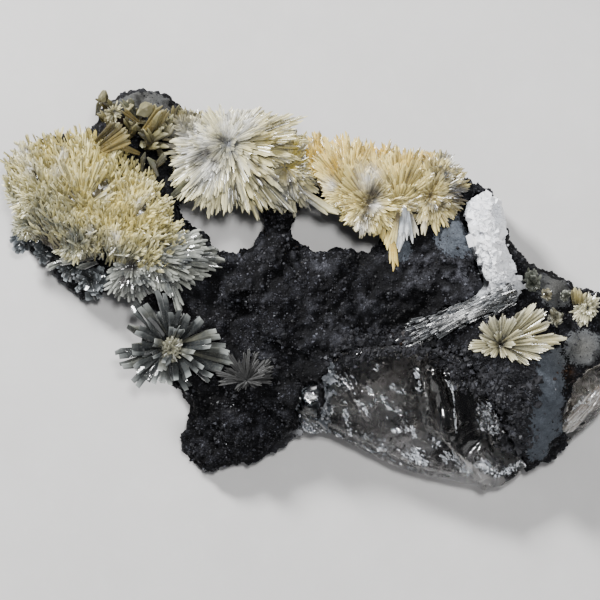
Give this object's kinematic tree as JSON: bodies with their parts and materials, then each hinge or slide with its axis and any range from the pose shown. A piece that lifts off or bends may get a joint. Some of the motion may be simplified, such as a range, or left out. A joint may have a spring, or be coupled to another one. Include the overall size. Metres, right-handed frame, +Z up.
{
  "type": "aragonite specimen",
  "caption": "Hand specimen of dark rock with two through gaps, covered in bladed aragonite sprays, with a white vein and smoky clear crystals. Lies on its flat back.",
  "frame": {"origin": "on the flat back that the specimen lies on, in the middle of its outline", "axes": "+Z up from the flat back, +X along its length to the end with the clear crystals, +Y across it to the edge with the middle and right sprays"},
  "size_m": [0.1236, 0.0803, 0.027],
  "materials": {
    "rock": "dark, granular, dull, with brown and slate patches",
    "cream_aragonite": "fine cream to yellow blades, silky to glassy",
    "white_aragonite": "silvery white blades with cream tips, silky",
    "orange_aragonite": "cream blades stained orange-tan, grey-white heart",
    "brown_aragonite": "tan, ochre and brown blades, glassy",
    "grey_aragonite": "long grey glassy blades with bright edges",
    "dark_aragonite": "dark bluish glassy blades",
    "tan_aragonite": "tan-yellow blades, glassy",
    "faint_aragonite": "grey-brown thin blades, half buried in the rock",
    "white_calcite": "bright sugary white, with sparkle",
    "smoky_calcite": "clear smoky brown with frosted cleavage steps",
    "pale_calcite": "clear to bluish white, frosted",
    "tan_calcite": "tan-grey, half clear, with a glittering edge"
  },
  "bodies": {
    "root": {"rock": "rock", "left_spray": "cream_aragonite", "middle_spray": "white_aragonite", "right_spray": "orange_aragonite", "brown_blades": "brown_aragonite", "glassy_rosette": "grey_aragonite", "lower_spray": "dark_aragonite", "left_edge_spray": "dark_aragonite", "small_fan": "tan_aragonite", "edge_fan": "tan_aragonite", "flat_fan": "faint_aragonite", "white_vein": "white_calcite", "smoky_crystal": "smoky_calcite", "clear_shard": "pale_calcite", "edge_crystal": "tan_calcite"}
  },
  "joints": []
}
